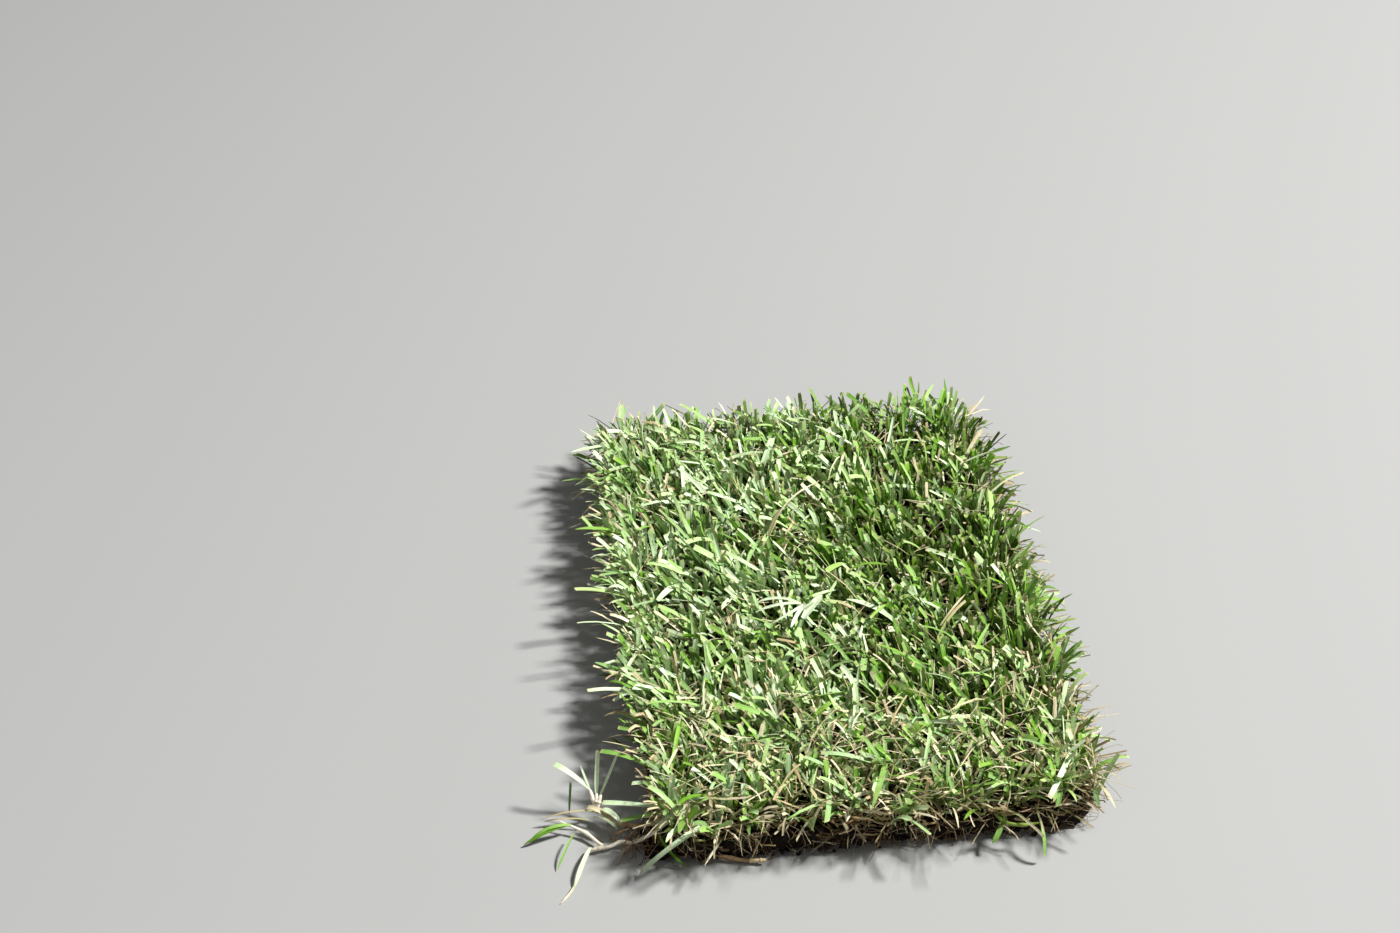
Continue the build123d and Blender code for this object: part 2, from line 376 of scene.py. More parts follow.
class Finish:
    """A material under construction. One method adds any node, with its settings first."""

    def __init__(self, name):
        self.material = bpy.data.materials.new(name)
        self.material.use_nodes = True
        self.tree = self.material.node_tree
        self.shader = self.tree.nodes["Principled BSDF"]

    def plug(self, node, inputs):
        for key, value in inputs.items():
            if isinstance(value, Wire):
                self.tree.links.new(value.socket, node.inputs[key])
            else:
                node.inputs[key].default_value = value

    def node(self, kind, settings, inputs, output=0):
        made = self.tree.nodes.new(kind)
        for key, value in settings.items():
            if key == "stops":
                elements = made.color_ramp.elements
                elements.remove(elements[1])
                elements[0].color = value[0]
                for place, colour in enumerate(value[1:], 1):
                    elements.new(place / (len(value) - 1)).color = colour
            else:
                setattr(made, key, value)
        self.plug(made, inputs)
        return Wire(self, made.outputs[output])

    def mix(self, share, first, second):
        return self.node("ShaderNodeMix", {"data_type": "RGBA"}, {0: share, 6: first, 7: second}, 2)

    def stops(self, value, colours):
        """A colour ramp with evenly spaced stops."""
        return self.node("ShaderNodeValToRGB", {"stops": [tint(*colour) for colour in colours]}, {0: value})

    def note(self, label):
        """The three numbers of one of the piece's attributes."""
        vector = self.node("ShaderNodeAttribute", {"attribute_name": label}, {}, "Vector")
        return tuple(self.node("ShaderNodeSeparateXYZ", {}, {0: vector}, axis) for axis in range(3))

    def noise(self, scale, detail=2.0, rough=0.5):
        place = self.node("ShaderNodeTexCoord", {}, {}, "Object")
        inputs = {"Vector": place, "Scale": scale, "Detail": detail, "Roughness": rough}
        return self.node("ShaderNodeTexNoise", {}, inputs)

    def bump(self, height, strength, depth):
        return self.node("ShaderNodeBump", {}, {"Height": height, "Strength": strength, "Distance": depth})

    def done(self, **sockets):
        self.plug(self.shader, {key.replace("_", " "): value for key, value in sockets.items()})
        return self.material


def tint(red, green, blue):
    """A colour as it shows on screen, in 0 to 255, turned into the linear colour that shaders use."""
    shares = (red / 255, green / 255, blue / 255)
    linear = [((c + 0.055) / 1.055) ** 2.4 if c > 0.04045 else c / 12.92 for c in shares]
    return (*linear, 1.0)


# The two palest greens are painted highlight: the glint of sunlit, waxed leaves put into the colour
LEAF_GREENS = ((46, 84, 0), (80, 124, 4), (102, 158, 26), (140, 190, 66), (182, 220, 132), (226, 246, 204))
STRAWS = ((134, 96, 54), (192, 172, 130), (224, 211, 174), (242, 234, 210))


def leaf_finish(name):
    """Leaf: green by the leaf's own tone, paler at its root, with a midrib, fine veins, a straw cut
    tip, straw on the dead ones, pale wax with a painted sheen, and, below zero, a painted brown shade."""
    made = Finish(name)
    across, along, chance = made.note("grain")
    tone, dry, sheen_and_shade = made.note("look")
    broad = made.noise(55.0, 3.0, 0.6)
    fine = made.noise(420.0, 2.0, 0.6)
    green = made.stops((tone + (broad - 0.5) * 0.35).clip(), LEAF_GREENS)
    wax_and_sheen = sheen_and_shade.clip()
    root = 1 - along.ramp(0.02, 0.34)
    green = made.mix(root * (1 - wax_and_sheen) * 0.5, green, tint(160, 184, 88))
    midrib = 1 - across.maths("ABSOLUTE", across).ramp(0.02, 0.18)
    green = made.mix(midrib * 0.3, green, tint(196, 212, 144))
    veins = across.maths("SINE", across * 26.0) * 0.5 + 0.5
    green = made.mix(veins * 0.12, green, tint(56, 84, 26))
    # Painted sheen: a pale wash over the waxed leaves, partly their wax and partly a painted highlight
    green = made.mix((wax_and_sheen * (0.2 + broad)).clip() * 0.65, green, tint(216, 238, 202))
    straw = made.stops((chance * 0.6 + broad * 0.5).clip(), STRAWS)
    tip = along.ramp(0.93, 0.985)
    edge = (dry * 1.6 + (along - 0.75) * dry * 1.5 + (fine - 0.5) * 0.25 * dry).clip()
    colour = made.mix(edge, green, straw)
    colour = made.mix(tip * (0.25 + chance * 0.6), colour, tint(208, 198, 150))
    colour = made.mix((0.42 - fine).ramp(0.0, 0.12) * 0.35, colour, tint(66, 66, 26))
    # Painted shade: below zero the leaf darkens toward brown, for the shade deep among the leaves and at
    # the rim, together with the rust of the back right's patches
    colour = made.mix((sheen_and_shade * -0.85).clip(), colour, tint(58, 38, 12))
    ridges = made.bump(veins + fine * 0.8, 0.35, 0.0003)
    rough = 0.42 + edge * 0.3 - wax_and_sheen * 0.08 + (fine - 0.5) * 0.15
    return made.done(
        Base_Color=colour, Roughness=rough, Normal=ridges, Specular_IOR_Level=0.22,
        Coat_Weight=wax_and_sheen * 0.3, Coat_Roughness=0.28,
    )


def stem_finish(name):
    """Runner: straw to green by the piece's own note, with joints darker and long fine ridges."""
    made = Finish(name)
    across, _, chance = made.note("grain")
    tone, dry, joint = made.note("look")
    broad = made.noise(90.0, 3.0, 0.6)
    fine = made.noise(700.0, 2.0, 0.6)
    greens = ((176, 190, 108), (132, 160, 66), (156, 122, 74))
    straws = ((66, 46, 32), (118, 86, 56), (170, 140, 100), (214, 196, 156), (240, 232, 212))
    green = made.stops((tone + (broad - 0.5) * 0.4).clip(), greens)
    straw = made.stops((tone + (broad - 0.5) * 0.6 + (chance - 0.5) * 0.1).clip(), straws)
    colour = made.mix(dry, green, straw)
    colour = made.mix(joint * (1 - tone) * 0.6, colour, tint(106, 76, 46))
    colour = made.mix((0.42 - fine).ramp(0.0, 0.15) * 0.4, colour, tint(58, 42, 28))
    ridges = across.maths("SINE", across * 30.0) * 0.5 + fine
    rough = 0.55 + fine * 0.2
    ridged = made.bump(ridges, 0.4, 0.0003)
    return made.done(Base_Color=colour, Roughness=rough, Normal=ridged, Specular_IOR_Level=0.25)


def soil_finish(name):
    """Soil: dark crumbs on broader lumps, with some pale grains, and painted shade darkening the hollows
    between the crumbs.
    """
    made = Finish(name)
    lumps = made.noise(70.0, 4.0, 0.6)
    crumbs = made.noise(330.0, 4.0, 0.7)
    place = made.node("ShaderNodeTexCoord", {}, {}, "Object")
    grains = made.node("ShaderNodeTexVoronoi", {}, {"Vector": place, "Scale": 620.0})
    browns = ((8, 6, 4), (21, 16, 12), (42, 33, 26), (74, 61, 50))
    colour = made.stops((lumps * 0.5 + crumbs * 0.9 - 0.25).clip(), browns)
    pale = (0.16 - grains).ramp(0.0, 0.1) * crumbs.ramp(0.5, 0.7) * 0.5
    colour = made.mix(pale, colour, tint(150, 136, 118))
    # Painted shade: darker where the crumbs sink, as in the hollows between them
    colour = made.mix((0.44 - crumbs).ramp(0.0, 0.14) * 0.7, colour, tint(12, 8, 5))
    relief = crumbs * 1.2 + grains * 0.5 + lumps
    rugged = made.bump(relief, 0.8, 0.0012)
    return made.done(Base_Color=colour, Roughness=0.92, Normal=rugged, Specular_IOR_Level=0.15)


FINISHES = {"leaf": leaf_finish, "stem": stem_finish, "soil": soil_finish}


def finish_piece(thing, kind, slot, *nodes):
    """Gives a piece its material and its body, and hides the nodes that it stands for; its slot is not
    used.

    A material is made the first time that a piece asks for it. The frame's own materials have
    the slots' bare names, so these are called otherwise.
    """
    name = "grown_" + kind
    thing.data.materials.append(bpy.data.materials.get(name) or FINISHES[kind](name))
    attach(thing, "root")
    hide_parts(*nodes)
    return {"FINISHED"}


# What can be set

class SoilSettings(bpy.types.PropertyGroup):
    relief: FloatProperty(
        name="Crumb relief", description="How far the soil's lumps stand out", default=0.0032, unit="LENGTH"
    )
    crumbs: IntProperty(name="Crumbs", description="Loose crumbs on the torn sides", default=2400)
    hairs: IntProperty(name="Hair roots", description="Fine roots on the torn sides", default=1500)
    seed: IntProperty(name="Seed", description="Draws another soil", default=11)


class LeafSettings(bpy.types.PropertyGroup):
    pitch: FloatProperty(
        name="Tuft spacing", description="How far apart the leaf tufts grow", default=0.0142, unit="LENGTH"
    )
    length: FloatProperty(name="Leaf length", description="Of a full leaf", default=0.070, unit="LENGTH")
    width: FloatProperty(name="Leaf width", description="Of a full leaf", default=0.0043, unit="LENGTH")
    mown: FloatProperty(
        name="Mown height", description="Where the mower cut", default=LEAF_TOP - 0.005, unit="LENGTH"
    )
    litter: IntProperty(name="Dead leaves", description="Dry leaves among the green", default=4200)
    seed: IntProperty(name="Seed", description="Draws other leaves", default=5)


class StageSettings(bpy.types.PropertyGroup):
    floor: FloatVectorProperty(
        name="Floor", description="The floor's colour", subtype="COLOR", default=(0.37, 0.37, 0.36)
    )
    key: FloatProperty(name="Key light", description="The main lamp's power", default=1520.0, unit="POWER")
    fill: FloatProperty(name="Fill light", description="The front lamp's power", default=4.4, unit="POWER")
    sky: FloatProperty(name="Sky light", description="Strength from all round", default=0.125)


class TurfStep:
    """What every operator here shares."""

    bl_options = {"REGISTER", "UNDO"}


class TURF_OT_soil(TurfStep, bpy.types.Operator):
    """Makes the pad of root-bound soil"""

    bl_idname = "turf.soil"
    bl_label = "Soil pad"

    def execute(self, context):
        settings = context.scene.turf_soil
        around, under, beside, over = 760, 12, 13, 11
        distance = np.arange(around) / around
        bottom = [(share, 0.0, 0.0) for share in np.linspace(0, 1, under, endpoint=False)]
        side = [(1.0, step, 1.0) for step in np.linspace(0, 1, beside)]
        top = [(share, 1.0, 0.0) for share in np.linspace(1, 0, over)[1:]]
        rows = np.array(bottom + side + top)
        rim, out = slab_rim(distance, np.zeros(around))
        grid = np.zeros((len(rows), around, 3))
        grid[..., :2] = rim * rows[:, None, :1]
        grid[..., 2] = rows[:, None, 1] * SOIL_TOP
        edge = rows[:, 2][:, None]
        belly = (np.sin(rows[:, 1] * pi) * 0.002 - 0.004 * (1 - rows[:, 1]) ** 2)[:, None]
        sizes = ((0.024, 1.3), (0.009, 0.8), (0.0042, 0.45))
        lumps = sum(cloud(grid, size, settings.seed + k) * height for k, (size, height) in enumerate(sizes))
        grid[..., :2] += out * (edge * (belly + lumps * settings.relief))[..., None]
        flat = rows[:, 1][:, None] == 0
        lift = np.abs(cloud(grid, 0.006, settings.seed + 3)) * 0.0012
        grid[..., 2] += np.where(flat, lift, lumps * settings.relief * 0.4)
        grid[..., 2] = np.clip(grid[..., 2], 0, SOIL_TOP + 0.002)
        grid[0] = grid[0].mean(axis=0)
        grid[-1] = grid[-1].mean(axis=0)
        pad = wrap_grid("soil_block", grid)
        return finish_piece(pad, "soil", "soil", "soil_pad")


class TURF_OT_crumbs(TurfStep, bpy.types.Operator):
    """Scatters loose soil crumbs over the torn sides"""

    bl_idname = "turf.crumbs"
    bl_label = "Soil crumbs"

    def execute(self, context):
        settings = context.scene.turf_soil
        rng = draws(settings.seed + 20)
        count = settings.crumbs
        size = 0.0009 + 0.0030 * rng.random(count) ** 3
        height = SOIL_TOP * rng.random(count)
        plan, _ = slab_rim(rng.random(count), rng.normal(0.0, 0.0022, count))
        at_corner = rng.random(count) < TORN_SHARE
        plan = np.where(at_corner[:, None], rng.normal(TORN_CORNER, TORN_SPREAD, (count, 2)), plan)
        height = np.where(at_corner, height * 0.4, height)
        centre = raised(plan, np.maximum(height, size * 0.7))
        station = np.array((-0.86, -0.35, 0.35, 0.86))
        radius = np.array((0.5, 0.95, 0.95, 0.5))
        points = 5
        turn = np.arange(points) * 2 * pi / points
        level = np.repeat(station[:, None], points, axis=1)
        ball = np.stack((radius[:, None] * np.cos(turn), radius[:, None] * np.sin(turn), level), axis=-1)
        lump = ball[None] * (1 + rng.uniform(-0.3, 0.3, (count, len(station), points, 1)))
        lump = lump * rng.uniform(0.7, 1.25, (count, 1, 1, 3))
        rings = centre[:, None, None] + lump * size[:, None, None, None]
        rings[..., 2] = np.maximum(rings[..., 2], 0.0)
        made = loft_rings("soil_crumbs", rings, creased=False)
        return finish_piece(made, "soil", "soil", "soil_pad")


def per_point(rings, *values):
    """Three numbers for each point of the rings."""
    return np.stack([np.broadcast_to(value, rings.shape[:-1]) for value in values], axis=-1)


def stem_notes(rings, rng, tone, dry, joint=0.0):
    """A tube's notes: round it, along it and by chance; and how pale, how dry and where jointed."""
    count, stations, points = rings.shape[:3]
    tone, dry, chance = (np.asarray(values)[:, None, None] for values in (tone, dry, rng.random(count)))
    along = np.linspace(0, 1, stations)[:, None]
    return {
        "grain": per_point(rings, np.linspace(-1, 1, points), along, chance),
        "look": per_point(rings, tone, dry, np.asarray(joint)[..., None]),
    }


class TURF_OT_hair_roots(TurfStep, bpy.types.Operator):
    """Hangs fine roots down the torn sides"""

    bl_idname = "turf.hair_roots"
    bl_label = "Hair roots"

    def execute(self, context):
        settings = context.scene.turf_soil
        rng = draws(settings.seed + 40)
        count, stations = settings.hairs, 6
        where = rng.random(count)
        plan, out = slab_rim(where, rng.uniform(-0.001, 0.003, count))
        start = rng.uniform(0.3, 1.35, count) * SOIL_TOP
        share = np.linspace(0, 1, stations)
        length = rng.uniform(0.008, 0.030, count)
        slant = rng.normal(0, 0.9, count)
        bulge = 0.0012 + 0.009 * rng.random(count) ** 2
        along = np.stack((-out[:, 1], out[:, 0]), axis=-1)
        sample = np.outer(where, (900, 0, 0))[:, None] + share[:, None] * 3.1
        sideways = length[:, None] * (np.sin(slant)[:, None] * share + 0.25 * cloud(sample, 1.0, 3))
        paths = np.zeros((count, stations, 3))
        paths[..., :2] = plan[:, None] + along[:, None] * sideways[..., None]
        paths[..., :2] += out[:, None] * (bulge[:, None] * np.sin(share * pi * 0.8))[..., None]
        paths[..., 2] = start[:, None] - length[:, None] * np.cos(slant)[:, None] * share
        paths[..., 2] = np.maximum(paths[..., 2], 0.0006)
        radii = (0.00016 + 0.0004 * rng.random(count) ** 2)[:, None] * np.linspace(1, 0.5, stations)
        rings = tube_rings(paths, radii, 3)
        tone = 0.05 + 0.85 * rng.random(count) ** 1.5
        made = loft_rings("hair_roots", rings, False, stem_notes(rings, rng, tone, np.ones(count)))
        return finish_piece(made, "stem", "thatch", "thatch_mat")


class TURF_OT_thatch(TurfStep, bpy.types.Operator):
    """Lays the mat of creeping runners over the soil"""

    bl_idname = "turf.thatch"
    bl_label = "Runner mat"

    def execute(self, context):
        rng = draws(THATCH_SEED)
        count, stations, points = 640, 13, 5
        at_rim = rng.random(count) < 0.6
        rim, out = slab_rim(rng.random(count), rng.uniform(-0.018, 0.0, count))
        inside = rng.uniform(-1, 1, (count, 2)) * (SLAB_HALF - 0.02)
        plan = np.where(at_rim[:, None], rim, inside)
        along = np.arctan2(out[:, 0], -out[:, 1])
        heading = np.where(at_rim, along + rng.normal(0, 0.8, count), rng.uniform(0, 2 * pi, count))
        length = rng.uniform(0.025, 0.10, count)
        share = np.linspace(0, 1, stations)
        depth = rng.uniform(0.1, 0.7, (count, 1))
        waves = rng.uniform(0.6, 2.0, (count, 1))
        phase = rng.uniform(0, 6.28, (count, 1))
        swing = depth * np.sin(share * pi * waves + phase)
        step = heading_vector(heading[:, None] + swing)[..., :2] * (length / (stations - 1))[:, None, None]
        walk = np.cumsum(step, axis=1)
        paths = np.zeros((count, stations, 3))
        paths[..., :2] = plan[:, None] + walk - walk[:, stations // 2][:, None]
        limit = SLAB_HALF + 0.006
        paths[..., :2] = np.clip(paths[..., :2], -limit, limit)
        paths[..., 2] = rng.uniform(SOIL_TOP - 0.005, MAT_TOP + 0.008, count)[:, None]
        paths[..., 2] += cloud(paths, 0.024, 9) * 0.004
        knots = (np.arange(stations) % 4 == 2).astype(float)
        radii = rng.uniform(0.0005, 0.0013, count)[:, None] * (1 + 0.4 * knots)
        rings = tube_rings(paths, radii, points)
        dry = np.where(rng.random(count) < 0.9, rng.uniform(0.85, 1.0, count), 0.3)
        tone = 0.02 + 0.75 * rng.random(count) ** 2.2
        notes = stem_notes(rings, rng, tone, dry, np.broadcast_to(knots, (count, stations)))
        made = loft_rings("runner_mat", rings, False, notes)
        return finish_piece(made, "stem", "thatch", "thatch_mat")


# Leaves

def leaf_notes(rings, stations, rng, look, cut):
    """A leaf's notes: across it, along it and by chance; and its tone, dryness, and wax with painted sheen,
    which is a painted brown shade where it is below zero. Only a cut tip reaches the end of the scale."""
    along = (stations * np.where(cut, 1.0, 0.93)[:, None])[..., None]
    grain = per_point(rings, (-1.0, 0.0, 1.0, 0.0), along, rng.random(len(rings))[:, None, None])
    return {"grain": grain, "look": look[:, None, None]}


def blade_shape(stations, cut):
    """Widths along a leaf: a narrower root, even sides, and a cut end or a short blunt point."""
    body = np.clip(0.62 + 1.5 * stations, 0, 1)
    pointed = body * np.clip((1.0 - stations) / 0.24, 0.07, 1) ** 0.6
    blunt = body * np.where(stations > 0.95, 0.88, 1.0)
    return np.where(cut[:, None], blunt, pointed)


def grow_leaves(
    name, rng, roots, heading, rise, lengths, widths, lean, look, ceiling, nodes, stations=LEAF_STATIONS
):
    """Leaves from their roots.

    Each leaf keeps its heading, give or take a slow swing, while its rise runs from the first
    value to the second by a power of the share, and the lean is added. The centre line is the
    running sum of these aims. A leaf that would pass the ceiling is shortened to it, as mown.
    Leaves that go past the reach, or into the corner tuft's room, are left out.
    """
    count = len(roots)
    power = rng.choice((0.8, 1.3, 2.4), count)[:, None]
    rises = rise[0][:, None] + (rise[1] - rise[0])[:, None] * stations**power
    swing = rng.normal(0, 0.30, count)[:, None] * stations
    aims = unit(heading_vector(heading[:, None] + swing, rises) + lean[:, None] * stations[:, None] ** 0.7)
    steps = (aims[:, :-1] + aims[:, 1:]) / 2 * np.diff(stations)[:, None]
    walk = np.concatenate((np.zeros((count, 1, 3)), np.cumsum(steps, axis=1)), axis=1)
    climb = np.max(walk[..., 2], axis=1) * lengths
    room = ceiling + rng.normal(0, 0.0022, count) - roots[:, 2]
    mown = climb > room
    lengths = np.where(mown, lengths * room / np.maximum(climb, 1e-6), lengths)
    cut = mown | (rng.random(count) < 0.4)
    paths = roots[:, None] + walk * lengths[:, None, None]
    paths[..., 2] = np.maximum(paths[..., 2], 0.0015)
    across = heading_vector(heading + pi / 2)
    widths = widths * (1 - 0.5 * look[:, 1])
    fold = rng.uniform(0.10, 0.65, count)[:, None] * (1 - 0.5 * stations)
    twist = rng.normal(0, 0.30, count)[:, None] + rng.normal(0, 0.6, count)[:, None] * stations
    slant = np.where(cut, rng.normal(0, 0.14, count), 0.0)
    rings = leaf_rings(paths, across, widths, blade_shape(stations, cut), fold, twist, slant)
    fits = np.all((rings > REACH_LOW) & (rings < REACH_HIGH), axis=(1, 2, 3))
    fits &= ~np.any(np.all((rings > TUFT_LOW) & (rings < TUFT_HIGH), axis=-1), axis=(1, 2))
    notes = leaf_notes(rings, stations, rng, look, cut)
    notes = {label: values[fits] for label, values in notes.items()}
    made = loft_rings(name, rings[fits], notes=notes)
    return finish_piece(made, "leaf", "leaf", *nodes)


def zones(plan):
    """How far each place belongs to the slab's front, to its left and to its back right, 0 to 1."""
    front = np.clip(-(plan[:, 1] + 0.13) / 0.10 + 0.5 * patches(plan, 0.06, 63), 0, 1)
    left = np.clip(0.55 - plan[:, 0] / 0.22 + 0.5 * patches(plan, 0.08, 62), 0, 1) * (1 - 0.5 * front)
    away = (plan[:, 0] - 0.02) / 0.10 + (plan[:, 1] - 0.02) / 0.3
    back = np.clip(away + 0.4 * patches(plan, 0.07, 64), 0, 1)
    return front, left, back * (1 - front)


def nap(plan):
    """The way the leaves lie: mostly to the left and a little to the back, swinging slowly."""
    heading = radians(158) + 0.8 * patches(plan, 0.10, 61) + 0.6 * patches(plan, 0.03, 65)
    return heading_vector(heading)


def leaf_look(plan, rng, dead_share):
    """Tone, dryness, and wax with painted sheen, by place: paler, with wax and painted sheen, on the left,
    deep green with rust and painted shade in brown patches at the back right, yellower with more straw at
    the front."""
    count = len(plan)
    front, left, back = zones(plan)
    clump = 0.18 * patches(plan, 0.018, 68) + 0.10 * patches(plan, 0.05, 69)
    # Painted sheen and shade: the left is paler and waxier, partly as painted sunlit sheen; at the back
    # right some leaves take rust patches, darkened as painted shade
    tone = 0.49 + 0.12 * left + 0.03 * back + 0.02 * front + clump + rng.normal(0, 0.28, count)
    wax_and_sheen = left * 0.55 - back * 0.24 + rng.normal(0, 0.42, count)
    rust_and_shade = np.clip(patches(plan, 0.028, 72) * 1.4 + 0.1, 0, 1) * np.clip(back * 1.3, 0, 1) * 0.75
    sheen_and_shade = np.where(wax_and_sheen < -0.15, -rust_and_shade, np.clip(wax_and_sheen, 0, 1))
    dead = rng.random(count) < dead_share * (1 + 1.5 * front - 0.1 * back)
    dry = np.where(dead, rng.uniform(0.5, 1.0, count), np.clip(rng.normal(0.02, 0.06, count), 0, 0.3))
    return np.stack((np.clip(tone, 0, 1), dry, sheen_and_shade), axis=-1)


def above(plan, low, high, rng):
    """Places in space: those of a plan, at random heights between two values."""
    return raised(plan, rng.uniform(low, high, len(plan)))


class TURF_OT_lower_leaves(TurfStep, bpy.types.Operator):
    """Fills the slab with its dense lower leaves, many of them dead"""

    bl_idname = "turf.lower_leaves"
    bl_label = "Lower leaves"

    def execute(self, context):
        settings = context.scene.turf_leaves
        rng = draws(settings.seed + 100)
        plan = spread_plan(0.0096, rng, 0.9)
        count = len(plan)
        look = leaf_look(plan, rng, 0.36)
        # Painted shade: the lower leaves get a darker tone and a brown darkening for the shade deep in the
        # sward, less of it on the dry ones
        look[:, 0] = np.clip(look[:, 0] - 0.30, 0, 1)
        look[:, 2] = -rng.uniform(0.45, 0.95, count) * (1 - 0.65 * look[:, 1])
        return grow_leaves(
            "lower_leaves", rng,
            above(plan, MAT_TOP - 0.007, MAT_TOP + 0.008, rng), rng.uniform(0, 2 * pi, count),
            (rng.uniform(0.1, 1.0, count), rng.uniform(-0.35, 0.5, count)),
            rng.uniform(0.5, 0.9, count) * settings.length, rng.uniform(0.6, 1.0, count) * settings.width,
            outward(plan, 0.03) * 0.4, look, settings.mown - 0.024, ("leaf_canopy",), SHORT_STATIONS,
        )


class TURF_OT_mown_leaves(TurfStep, bpy.types.Operator):
    """Grows the tufts of mown leaves in three bands across the slab"""

    bl_idname = "turf.mown_leaves"
    bl_label = "Mown leaves"

    def execute(self, context):
        settings = context.scene.turf_leaves
        bands = (
            ("front_leaves", -1.1, -0.396),
            ("middle_leaves", -0.396, 0.33),
            ("back_leaves", 0.33, 1.1),
        )
        rng = draws(settings.seed)
        tufts = spread_plan(settings.pitch, rng, 0.75, 0.001)
        at_rim = np.max(np.abs(tufts) / SLAB_HALF, axis=1) > 0.9
        tufts = tufts[at_rim | (patches(tufts, 0.024, 67) > rng.uniform(-0.9, -0.35, len(tufts)))]
        fans = 4
        plan = np.repeat(tufts, fans, axis=0) + rng.normal(0, 0.0018, (len(tufts) * fans, 2))
        order = np.tile(np.arange(fans), len(tufts))
        facing = np.repeat(rng.uniform(0, 2 * pi, len(tufts)), fans)
        heading = facing + (order % 2) * pi + rng.normal(0, 0.5, len(plan))
        count = len(plan)
        front, _, back = zones(plan)
        upright = (order >= 1) | (rng.random(count) < 0.5 * back)
        start = np.where(upright, rng.uniform(1.2, 1.5, count), rng.uniform(0.7, 1.2, count))
        bend = np.where(upright, rng.uniform(0.0, 0.35, count), rng.uniform(0.0, 0.7, count))
        end = start - bend - 0.3 * front
        ceiling = settings.mown - 0.003 + 0.006 * patches(plan, 0.034, 66)
        pull = outward(plan, 0.032)
        inner = np.clip(1 - np.linalg.norm(pull, axis=1), 0, 1)
        force = 0.50 + 0.35 * patches(plan, 0.045, 70) - 0.16 * back - 0.10 * front
        lean = nap(plan) * (force * inner)[:, None] + pull * 0.35
        lengths = settings.length * rng.uniform(0.6, 1.2, count)
        widths = settings.width * np.clip(rng.normal(1.0, 0.28, count), 0.5, 1.8)
        roots = above(plan, MAT_TOP - 0.006, MAT_TOP + 0.008, rng)
        look = leaf_look(plan, rng, 0.10)
        for name, low, high in bands:
            pick = (plan[:, 1] >= low * SLAB_HALF[1]) & (plan[:, 1] < high * SLAB_HALF[1])
            grow_leaves(
                name, rng, roots[pick], heading[pick], (start[pick], end[pick]), lengths[pick],
                widths[pick], lean[pick], look[pick], ceiling[pick], ("leaf_canopy", "leaf_blades"),
            )
        return {"FINISHED"}


class TURF_OT_lying_leaves(TurfStep, bpy.types.Operator):
    """Lays long leaves over the top of the others, along the nap"""

    bl_idname = "turf.lying_leaves"
    bl_label = "Lying leaves"

    def execute(self, context):
        settings = context.scene.turf_leaves
        rng = draws(settings.seed + 200)
        plan = spread_plan(0.0118, rng, 0.9, -0.004)
        front, _, back = zones(plan)
        stay = rng.random(len(plan)) < 0.46 - 0.26 * back
        plan, front = plan[stay], front[stay]
        count = len(plan)
        way = nap(plan)
        heading = bearing(way) + rng.normal(0, 0.9 + 0.6 * front, count)
        look = leaf_look(plan, rng, 0.12)
        look[:, 0] = np.clip(look[:, 0] + 0.12, 0, 1)
        start = rng.uniform(0.3, 1.3, count)
        return grow_leaves(
            "lying_leaves", rng, above(plan, 0.042, 0.058, rng), heading,
            (start, start - rng.uniform(0.1, 0.9, count)), settings.length * rng.uniform(0.7, 1.2, count),
            settings.width * np.clip(rng.normal(1.0, 0.2, count), 0.5, 1.5),
            outward(plan, 0.03) * 0.4, look, settings.mown + 0.001, ("leaf_blades",),
        )


class TURF_OT_fringe(TurfStep, bpy.types.Operator):
    """Hangs leaves out over the slab's four edges"""

    bl_idname = "turf.fringe"
    bl_label = "Fringe leaves"

    def execute(self, context):
        settings = context.scene.turf_leaves
        rng = draws(settings.seed + 300)
        count = 900
        plan, out = slab_rim(rng.random(count), rng.uniform(-0.018, 0.001, count))
        at_front = out[:, 1] < -0.7
        kept = ~at_front | (rng.random(count) < 0.5)
        plan, out, at_front = plan[kept], out[kept], at_front[kept]
        count = len(plan)
        heading = bearing(out) + rng.normal(0, np.where(at_front, 1.1, 0.9), count)
        look = leaf_look(plan, rng, 0.28)
        end = rng.uniform(-0.8, 0.7, count) * np.where(at_front, 0.5, 1.0) + np.where(at_front, 0.5, 0.0)
        return grow_leaves(
            "fringe_leaves", rng, above(plan, MAT_TOP - 0.002, MAT_TOP + 0.014, rng), heading,
            (rng.uniform(0.4, 1.35, count), end), settings.length * rng.uniform(0.4, 0.8, count),
            settings.width * rng.uniform(0.5, 1.05, count),
            raised(out * 0.1), look, settings.mown - 0.006, ("leaf_canopy",),
        )


